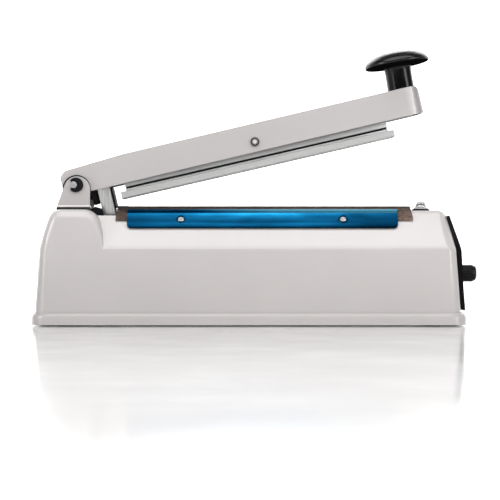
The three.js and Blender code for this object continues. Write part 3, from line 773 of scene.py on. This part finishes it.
COUNTERSINK = [(1.7, -4), (1.7, 1.45), (3.0, 1.45), (3.15, 2.0), (4.2, 3.0)]
SIDES = ((-1, "front"), (1, "rear"))
for side, word in SIDES:
    skin = rings([strip_section(x, side) for x in strip_columns()])
    strip = piece(f"{word}_strip_skin", skin, "base", "blue_anodised")
    strip.modifiers.clear()
    cutters = []
    for x in STRIP_SCREWS:
        y, z = on_slope(STRIP_SCREW_DOWN, 0)
        lean = Matrix.Rotation(-side * math.atan2(-DOWN[1], DOWN[0]), 4, "X")
        hole = bpy.data.meshes.new("hole")
        bm = revolved(COUNTERSINK, Matrix.Translation(at(x, side * y, z)) @ lean, 40)
        bm.to_mesh(hole)
        bm.free()
        cutters.append(show(bpy.data.objects.new("hole", hole)))
    cut(strip, cutters)
    smooth(strip, 0.0001, 40)
    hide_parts(f"{word}_clamp_strip")


# ---------------------------------------------------------------- coated cloth over the seal bar
HALF_CLOTH = [on_slope(10.4, 0.5), on_slope(8, 0.5), on_slope(5, 0.48), on_slope(2, 0.45),
              (13.9, 85.75), (12.7, 86.35), (11.2, 87.5), (10.35, 88.2), (9.6, 88.5), (8.4, 88.56),
              (4.2, 88.57), (0, 88.58)]
CLOTH_SECTION = [Vector((-y, z)) for y, z in HALF_CLOTH] + [
    Vector((y, z)) for y, z in reversed(HALF_CLOTH[:-1])]
CLOTH_COLUMNS = 220
# How far down and out the sheet's ends hang free of the bar, stick out and fray, in mm.
BAR_TOP = 88.4
HANG = 8
FREE_LEFT = 8
FREE_RIGHT = 11
OVERHANG_LEFT = 1.0
OVERHANG_RIGHT = 1.5
FRAY_LEFT = 2.6


def cloth_points(section, ends, columns, lift=0.0, ragged=0.25):
    """The sheet at rest: nearly smooth over the bar, wavy where its ends hang free."""
    rows = []
    profile = curve_through(section, 6)
    for i in range(columns + 1):
        share = i / columns
        row = []
        for k, p in enumerate(profile):
            low = min(1.0, max(0.0, (BAR_TOP - p.y) / HANG))
            left = ends[0] - OVERHANG_LEFT * low + FRAY_LEFT * ragged * wobble(k * 0.9, 0, 1)
            right = ends[1] + OVERHANG_RIGHT * low + ragged * wobble(k * 1.1, 3, 2)
            x = left + (right - left) * share
            free = max(0.0, (BED[0] - x) / FREE_LEFT, (x - BED[1]) / FREE_RIGHT)
            free = min(1.0, free)
            out = lift + free * low * (0.45 + 0.35 * wobble(k * 0.22, x * 0.35, 5))
            out += 0.045 * wobble(x * 0.21, p.x * 0.5, 4) * (1 - free)
            tilt = Vector((math.copysign(1, p.x), 0.9)).normalized() if low > 0 else Vector((0, 1))
            row.append(at(x, p.x + out * tilt.x, p.y + out * tilt.y))
        rows.append(row)
    return rows


def sheet(name, points, slot_name, thickness):
    """An open sheet of cloth on the base, with a thickness in mm."""
    skin = piece(name, rings(points, False, False), "base", slot_name)
    skin.modifiers.clear()
    solid = skin.modifiers.new("thickness", "SOLIDIFY")
    solid.thickness = thickness * MM
    solid.offset = 0
    return skin


cloth = cloth_points(CLOTH_SECTION, CLOTH, CLOTH_COLUMNS)
cloth_skin = sheet("coated_cloth", cloth, "ptfe_cloth", 0.13)
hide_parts("ptfe_cloth")

TAPE_SECTION = [Vector((y, z)) for y, z in
                ((-10.75, 87.55), (-10.35, 88.2), (-9.7, 88.6), (-8.4, 88.66), (0, 88.68),
                 (8.4, 88.66), (9.7, 88.6), (10.35, 88.2), (10.75, 87.55))]
TAPE = (-98.6, -90.7)
sheet("end_tape", cloth_points(TAPE_SECTION, TAPE, 16, 0.12, 0.05), "black_rubber", 0.16)


# ---------------------------------------------------------------- handle
HANDLE = [(0.01, 0.05), (9.6, 0.05), (9.95, 0.25), (10.05, 0.8), (9.95, 5), (9.9, 10),
          (9.95, 13.6), (10.05, 15.8), (10.5, 17.3), (11.5, 18.2), (12.8, 18.5), (17, 18.75),
          (22, 18.95), (23.3, 19.25), (23.95, 19.8), (24.15, 20.5), (24.0, 21.4), (23.4, 22.6),
          (22.2, 24.0), (19, 26.35), (15, 28.0), (10, 29.2), (5, 29.82), (2, 29.97),
          (0.01, 29.98)]
# Where the handle stands on the arm, in mm from the pin, and its lean towards the arm's end.
HANDLE_ALONG = 255.4
HANDLE_UP = 13.59
HANDLE_LEAN = math.radians(4)
STEM_RADIUS = 0.011
FLUTE_TOP = 16.5
FLUTE_FADE = 4
FLUTE_DEPTH = 0.07


def on_arm(u, v, y):
    """A point on the arm at rest: along it, up from it and across it from the pin, in mm."""
    c, s = math.cos(ARM_TILT), math.sin(ARM_TILT)
    return PIN + Vector((u * c - v * s, y, u * s + v * c)) * MM


def fluted(radius, height, angle):
    """The stem's twelve shallow flutes, which run out under the cap."""
    if height > FLUTE_TOP or radius < 9:
        return radius
    fade = min(1.0, (FLUTE_TOP - height) / FLUTE_FADE)
    return radius - FLUTE_DEPTH * fade * abs(math.sin(6 * angle)) ** 0.7


along = [Vector((r, z)) for r, z in HANDLE]
fine = [(max(0.01, p.x), p.y) for p in curve_through(along, 4)]
foot = on_arm(HANDLE_ALONG, HANDLE_UP, 0)
stand = Matrix.Translation(foot) @ Matrix.Rotation(HANDLE_LEAN - ARM_TILT, 4, "Y")
grip = piece("handle_skin", revolved(fine, stand, 144, fluted), "arm", "handle_black", 0, 60)
grip.data.materials.append(moulded("handle_underside", (0.004, 0.004, 0.0045), 0.7, shine=0.0))
stem = moulded("handle_stem", (0.0015, 0.0015, 0.0017), 0.2, 2400, 0.00001, 0.0, 0.24)
grip.data.materials.append(stem)
axis = stand.to_3x3() @ Vector((0, 0, 1))
for face in grip.data.polygons:
    out = face.center - foot
    if face.normal.dot(axis) < -0.5:
        face.material_index = 1
    elif (out - axis * out.dot(axis)).length < STEM_RADIUS and face.normal.dot(axis) < 0.2:
        face.material_index = 2
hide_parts("handle_knob")


# ---------------------------------------------------------------- return spring
# One leg lies along the arm, the wire winds round the pin a little over four times, and the
# other leg goes down.
COIL = 5.2
COIL_HALF = 5
COIL_STEPS = 56
WIRE_RADIUS = 0.55
leg = [on_arm(30, 11.7, -5.2), on_arm(24, 10.4, -5.2), on_arm(14, 7.6, -5.2), on_arm(6, 5.6, -5.1)]
first = math.pi / 2 + ARM_TILT
last = math.pi + 8 * math.pi
for i in range(COIL_STEPS + 1):
    share = i / COIL_STEPS
    a = first + (last - first) * share
    y = COIL_HALF * (2 * share - 1)
    leg.append(PIN + Vector((COIL * math.cos(a), y, COIL * math.sin(a))) * MM)
for z in (-4, -8, -12, -15.3):
    leg.append(PIN + Vector((-COIL, COIL_HALF, z)) * MM)
wire = swept(curve_through(leg, 4), WIRE_RADIUS)
wire = piece("spring_wire", wire, "base", "spring_steel", 0, 50)
wire.parent = None
wire.matrix_world = Matrix.Identity(4)
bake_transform(wire)
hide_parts("return_spring")


# ---------------------------------------------------------------- hinge washers and gasket, black pieces which also lay painted shadow lines
WASHER_X = -128.8
WASHER_Y = 13.05
WASHER_Z = 101.3
WASHER = [(5.6, -0.62), (10.1, -0.62), (10.5, -0.3), (10.5, 0.3), (10.1, 0.62), (5.6, 0.62)]
# Black washers between the ears and the arm; their black rims round the top of each ear also stand in for the
# shadow in the gap there: painted shadow.
for side, word in SIDES:
    centre = at(WASHER_X, side * WASHER_Y, WASHER_Z)
    lie = Matrix.Translation(centre) @ Matrix.Rotation(math.pi / 2, 4, "X")
    ring = revolved(WASHER + WASHER[:1], lie, 64)
    piece(f"hinge_washer_and_shadow_{word}", ring, "base", "black_clip", 0, 40)


def rounded(x0, x1, y0, y1, z, r, steps=6):
    """The outline of a level rounded rectangle, in mm."""
    left, right, front, rear = x0 + r, x1 - r, y0 + r, y1 - r
    ring = []
    for cx, cy, turn in ((right, rear, 0), (left, rear, 90), (left, front, 180), (right, front, 270)):
        for k in range(steps + 1):
            a = math.radians(turn + 90 * k / steps)
            ring.append(at(cx + r * math.cos(a), cy + r * math.sin(a), z))
    return ring


# A shallow tray: the bracket stands between its front and rear lips, and the sides stay low,
# where the arm's bumper comes down. Each ring is (height, how far outside the bracket).
BRACKET = (-143.1, -118.5)
BRACKET_HALF = 16
TRAY = [(85.76, 0.55), (87.55, 0.6), (87.7, 0.45), (87.65, 0.3), (86.5, 0.25), (86.48, 0.1)]
TRAY_SIDE_TOP = 86.4
LIP_FROM = 14.7
tray = []
for z, d in TRAY:
    tray.append(rounded(BRACKET[0] - d, BRACKET[1] + d, -BRACKET_HALF - d, BRACKET_HALF + d, z, 2))
# The black tray stands proud round the bracket's foot, so it also lays a painted shadow line in the gap under the
# bracket.
gasket_and_shadow = rings(tray)
for corner in gasket_and_shadow.verts:
    if abs(corner.co.y) < LIP_FROM * MM:
        corner.co.z = min(corner.co.z, TRAY_SIDE_TOP * MM)
piece("hinge_gasket_and_shadow", gasket_and_shadow, "base", "black_rubber", 0, 40)


# A bead along the foot of each ear, in a much lighter copy of the casing's grey, is a painted highlight above the
# gasket: (x, size) of it.
BEAD = ((-142.6, 0.2), (-142.4, 0.55), (-141.8, 0.7), (-119.8, 0.7), (-119.2, 0.55), (-119.0, 0.2))
BEAD_Z = 88.35
BEAD_SIDES = 12
# A much lighter copy of the casing's grey: painted highlight.
bead_highlight_paint = painted("bead_highlight_paint", shade(casing_grey, 1.45))
for side, word in SIDES:
    bead = []
    for x, size in BEAD:
        ring = []
        for k in range(BEAD_SIDES):
            a = 2 * math.pi * k / BEAD_SIDES
            y = side * BRACKET_HALF + size * math.cos(a) * 0.8
            ring.append(at(x, y, BEAD_Z + size * math.sin(a)))
        bead.append(ring)
    piece(f"ear_bead_{word}", rings(bead), "base", "painted_bracket", 0, 60, bead_highlight_paint)


# ---------------------------------------------------------------- dished washer of the right terminal
TERMINAL_X = 129.7
dish = [(3.0, 86.52), (5.9, 86.52), (6.05, 86.75), (5.7, 87.15), (4.7, 87.95), (3.9, 88.3), (3.0, 88.3)]
dish = revolved(dish + dish[:1], Matrix.Translation(at(TERMINAL_X, 0, 0)), 64)
piece("terminal_washer", dish, "base", "zinc_steel", 0, 40, bright_nut)


# ---------------------------------------------------------------- dial on the side panel
PANEL_X = 158.6
PANEL_FOOT = 26
PANEL_LEAN = math.atan2(1.5, 29.3)
TIMER_Z = 38.3
LENS_Z = 51.0
TICKS = 19
TICK_TURN = 15
TICK_INNER = 8.0
DIGIT_TURN = 30
DIGIT_RADIUS = 12.9


def panel_point(y, z, out=0.0):
    """A point on the panel's flat face, in mm."""
    return at(PANEL_X - (z - PANEL_FOOT) * math.tan(PANEL_LEAN) + out, y, z)


def dial_place(angle, radius):
    """Where a mark stands round the timer knob, clockwise from its upper right."""
    a = math.radians(45 - angle)
    return radius * math.cos(a), TIMER_Z + radius * math.sin(a)


print_white = moulded("print_white", (0.62, 0.62, 0.60), 0.5, shine=0.2)
bm = bmesh.new()
for i in range(TICKS):
    outer, half = (10.4, 1.4) if i % 2 == 0 else (9.4, 1.0)
    corners = []
    for radius, side in ((TICK_INNER, -1), (outer, -1), (outer, 1), (TICK_INNER, 1)):
        corners.append(dial_place(i * TICK_TURN + side * half * TICK_INNER / radius, radius))
    low = [bm.verts.new(panel_point(y, z, -0.05)) for y, z in corners]
    top = [bm.verts.new(panel_point(y, z, 0.06)) for y, z in corners]
    bm.faces.new(top)
    bm.faces.new(reversed(low))
    for k in range(4):
        bm.faces.new((low[k], low[(k + 1) % 4], top[(k + 1) % 4], top[k]))
piece("dial_ticks", bm, "base", "black_plastic", 0.00003, 40, print_white)

# A text stands up on the panel: its own X, Y and Z become the panel's Y, Z and X.
upright = Matrix(((0, 0, 1, 0), (1, 0, 0, 0), (0, 1, 0, 0), (0, 0, 0, 1)))
for number in range(10):
    y, z = dial_place(number * DIGIT_TURN, DIGIT_RADIUS)
    text = bpy.data.curves.new(f"digit_{number}", "FONT")
    text.body = str(number)
    text.size = 3.4 * MM
    text.align_x = "CENTER"
    text.align_y = "CENTER"
    text.extrude = 0.05 * MM
    carrier = show(bpy.data.objects.new("digit", text))
    bpy.context.view_layer.update()
    flat_mesh = bpy.data.meshes.new_from_object(carrier)
    bpy.data.objects.remove(carrier)
    bm = bmesh.new()
    bm.from_mesh(flat_mesh)
    lean = Matrix.Rotation(-PANEL_LEAN, 4, "Y")
    bm.transform(Matrix.Translation(panel_point(y, z, 0.02)) @ lean @ upright)
    piece(f"dial_number_{number}", bm, "base", "black_plastic", 0, 40, print_white)

BEZEL = [(3.7, -0.1), (5.1, -0.1), (5.1, 0.35), (4.7, 0.75), (4.0, 0.85), (3.7, 0.6)]
lean = Matrix.Rotation(math.pi / 2 - PANEL_LEAN, 4, "Y")
bezel = revolved(BEZEL + BEZEL[:1], Matrix.Translation(panel_point(0, LENS_Z)) @ lean, 56)
piece("lens_bezel", bezel, "base", "bright_screw", 0, 40)


# ---------------------------------------------------------------- floor
def screen(name, corners):
    """A plain four-cornered face that isn't part of the object."""
    mesh = bpy.data.meshes.new(name)
    mesh.from_pydata(corners, [], [(0, 1, 2, 3)])
    return show(bpy.data.objects.new(name, mesh))


# How fast the floor's colour, and its gloss and own light, change away from the object; the colour is painted
# darker round it, a painted shade.
NEAR_SHADE_SPREAD = (1.6, 2.6, 1)
FAR_SPREAD = (0.4, 0.4, 1)
FLOOR_FAR = (0.88, 0.88, 0.88)
FLOOR_NEAR_SHADE = ((0.66, 0.655, 0.65), (0.70, 0.695, 0.69))
FAR_GLOW = 0.76
GLOW_FADE = (0.35, 0.76)
FAR_GLOSS = 0.0
NEAR_GLOSS = 0.6
GLOSS_FADE = (0.4, 0.74)

floor = screen("floor", [(-6, -3, 0), (6, -3, 0), (6, 6, 0), (-6, 6, 0)])
n = Nodes("floor_white")
# Painted shade: the floor is painted darker round the object and pale far from it.
near_shade = n.blend(n.remap(n.noise(30), 0, 1), *FLOOR_NEAR_SHADE)
n.colour(n.blend(n.remap(n.round_spot(NEAR_SHADE_SPREAD), 0, 1, 0.0, 0.66), FLOOR_FAR, near_shade))
n.roughness(n.remap(n.noise(12), 0.1, 0.16))
# Far from the object the floor is matt and lights itself, so it stays pale from every side.
wide = n.round_spot(FAR_SPREAD)
glow = n.remap(wide, FAR_GLOW, 0.0, *GLOW_FADE)
n.link(glow, n.shader.inputs["Emission Strength"])
gloss = n.remap(wide, FAR_GLOSS, NEAR_GLOSS, *GLOSS_FADE)
n.link(gloss, n.shader.inputs["Specular IOR Level"])
paint(floor, n.sets(Emission_Color=(1, 1, 1, 1)))

backdrop = screen("backdrop", [(-8, 4, -0.1), (8, 4, -0.1), (8, 4, 5), (-8, 4, 5)])
n = Nodes("backdrop_white")
n.colour(n.blend(n.remap(n.noise(1), 0, 1), (0.95, 0.95, 0.95), (0.97, 0.97, 0.97)))
paint(backdrop, n.sets(Emission_Color=(1, 1, 1, 1), Emission_Strength=1.0, Roughness=1.0))
backdrop.visible_diffuse = False
